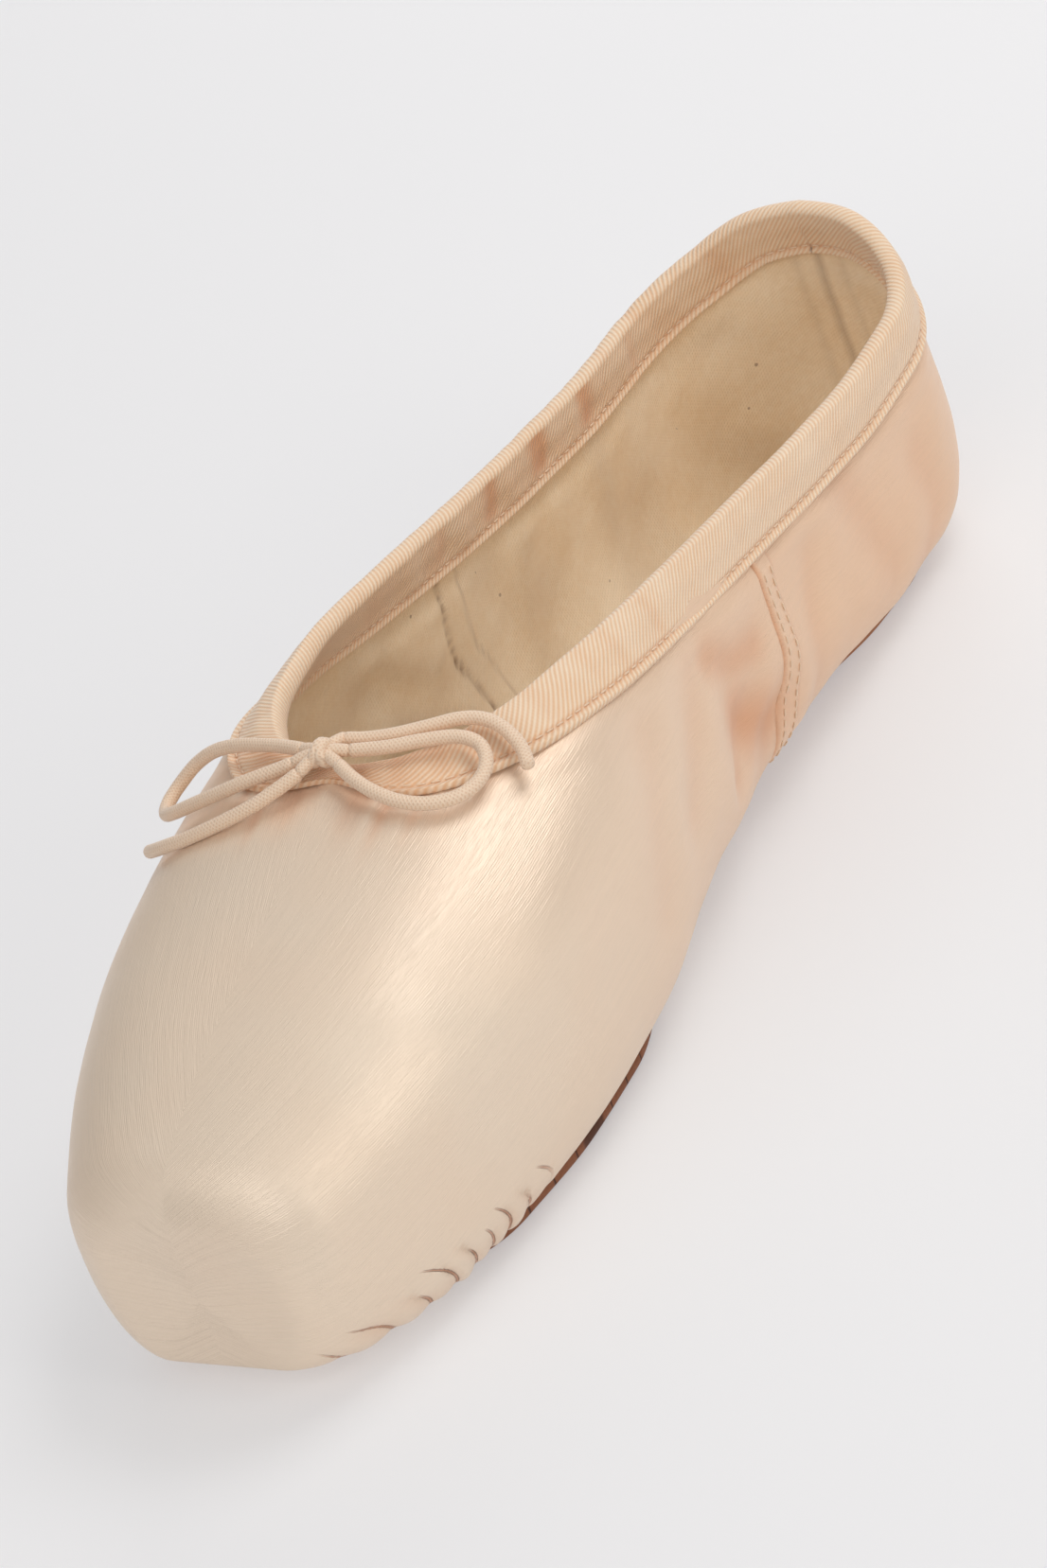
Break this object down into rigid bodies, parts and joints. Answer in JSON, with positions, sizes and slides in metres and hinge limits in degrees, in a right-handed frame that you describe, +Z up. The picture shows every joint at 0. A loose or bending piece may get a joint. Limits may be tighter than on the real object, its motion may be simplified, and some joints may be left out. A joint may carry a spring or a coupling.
{
  "type": "pointe shoe",
  "caption": "Satin pointe shoe with a stiff toe box and flat platform, leather outsole, tape-bound collar and a drawstring bow, standing empty on its sole.",
  "frame": {"origin": "under the middle of the shoe, on the ground", "axes": "+Y from the toe platform to the heel, +Z up, +X to the right seen from the toe"},
  "size_m": [0.078, 0.24, 0.0658],
  "materials": {
    "satin": "peach satin with a soft sheen",
    "sole_leather": "brown split leather, scored",
    "lining_cotton": "matt cream cotton drill",
    "twill_tape": "matt peach twill tape",
    "drawstring": "matt peach braided cord"
  },
  "bodies": {
    "root": {"upper": "satin", "outsole": "sole_leather", "insole": "lining_cotton", "collar_binding": "twill_tape", "bow_knot": "drawstring", "bow_loop_left": "drawstring", "bow_loop_right": "drawstring", "bow_tail_left": "drawstring", "bow_tail_right": "drawstring"}
  },
  "joints": []
}
